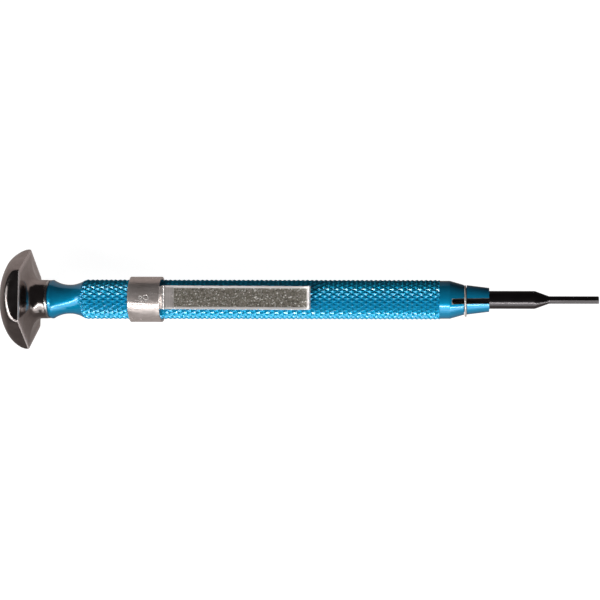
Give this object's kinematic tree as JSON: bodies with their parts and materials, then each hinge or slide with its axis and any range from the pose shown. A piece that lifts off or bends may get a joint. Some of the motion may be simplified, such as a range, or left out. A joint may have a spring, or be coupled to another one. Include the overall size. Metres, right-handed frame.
{
  "type": "watchmaker screwdriver",
  "caption": "Slim knurled precision driver with a swivelling hexagonal finger rest, a pocket clip and a draw-out hex key blade held in a slotted nose.",
  "frame": {"origin": "centre of the blade's hexagonal end face", "axes": "+X along the tool's axis, out of the tip; +Z towards the leaf of the pocket clip; the swivel head is at -X"},
  "size_m": [0.1061, 0.0178, 0.0156],
  "materials": {
    "blue_anodised": "bright blue anodised, fine diamond knurl, polished waist and nose",
    "black_oxide": "oiled black oxide on a ground rod",
    "dark_nickel": "polished dark nickel plate",
    "bright_nickel": "nickel-plated spring steel sheet, polished edges and a worn, textured leaf",
    "spring_wire": "drawn spring wire",
    "hard_steel": "ground",
    "bronze": "turned"
  },
  "bodies": {
    "handle": {"barrel": "blue_anodised", "drive_plug": "hard_steel", "pivot_pin": "hard_steel", "pivot_snap_ring": "hard_steel", "neck_washer": "hard_steel"},
    "head": {"swivel_head": "dark_nickel", "head_bush": "bronze", "thrust_pad": "hard_steel", "thrust_ball": "hard_steel"},
    "blade": {"blade": "black_oxide"},
    "clip": {"clip_band": "bright_nickel"},
    "clip_leaf": {"clip_leaf": "bright_nickel"},
    "spring_ring": {"spring_ring": "spring_wire"}
  },
  "joints": [
    {"name": "head_swivel", "type": "hinge", "parent": "handle", "child": "head", "pos_m": [-0.1, 0, 0], "axis": [1, 0, 0], "continuous": true},
    {"name": "blade_draw", "type": "slide", "parent": "handle", "child": "blade", "axis": [1, 0, 0], "range_m": [0, 0.034]},
    {"name": "clip_turn", "type": "hinge", "parent": "handle", "child": "clip", "pos_m": [-0.0804, 0, 0], "axis": [1, 0, 0], "continuous": true},
    {"name": "clip_flex", "type": "hinge", "parent": "clip", "child": "clip_leaf", "pos_m": [-0.07762, 0, 0.00381], "axis": [0, -1, 0], "range_deg": [0, 5], "stiffness_Nm_per_rad": 0.05},
    {"name": "ring_turn", "type": "hinge", "parent": "handle", "child": "spring_ring", "pos_m": [-0.02374, -0.00022, 0], "axis": [0.9998, 0.0192, 0], "continuous": true}
  ]
}
